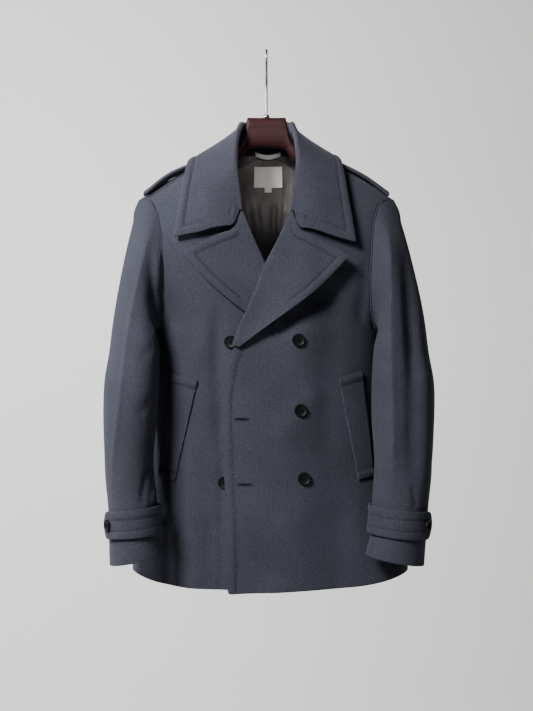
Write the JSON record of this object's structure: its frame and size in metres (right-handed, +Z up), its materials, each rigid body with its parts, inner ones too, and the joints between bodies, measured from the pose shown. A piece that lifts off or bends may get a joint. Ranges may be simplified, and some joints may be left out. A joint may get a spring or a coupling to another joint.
{
  "type": "pea coat on hanger",
  "caption": "Double-breasted pea coat with a wide notched collar, hanging open at the neck on a wooden hanger with a steel hook.",
  "frame": {"origin": "inner crown of the hanger's hook, where it rests on a rail along X", "axes": "+Z up, the coat's front faces -Y, the wearer's left is +X"},
  "size_m": [0.5622, 0.2541, 0.937],
  "materials": {
    "wool": "matt",
    "lining": "satin",
    "label": "matt",
    "button": "gloss",
    "wood": "satin lacquer",
    "steel": "satin"
  },
  "bodies": {
    "root": {"back": "wool", "front_left": "wool", "front_right": "wool", "lapel_left": "wool", "lapel_right": "wool", "collar_stand": "wool", "collar_fall": "wool", "sleeve_top_left": "wool", "sleeve_top_right": "wool", "sleeve_under_left": "wool", "sleeve_under_right": "wool", "shoulder_strap_left": "wool", "shoulder_strap_right": "wool", "cuff_strap_left": "wool", "cuff_strap_right": "wool", "pocket_welt_left": "wool", "pocket_welt_right": "wool", "button_left_1": "button", "button_left_2": "button", "button_left_3": "button", "button_right_1": "button", "button_right_2": "button", "button_right_3": "button", "cuff_button_left": "button", "cuff_button_right": "button", "lining": "lining", "neck_label": "label", "hanging_loop": "label", "hanger_body": "wood", "hanger_hook": "steel"}
  },
  "joints": []
}
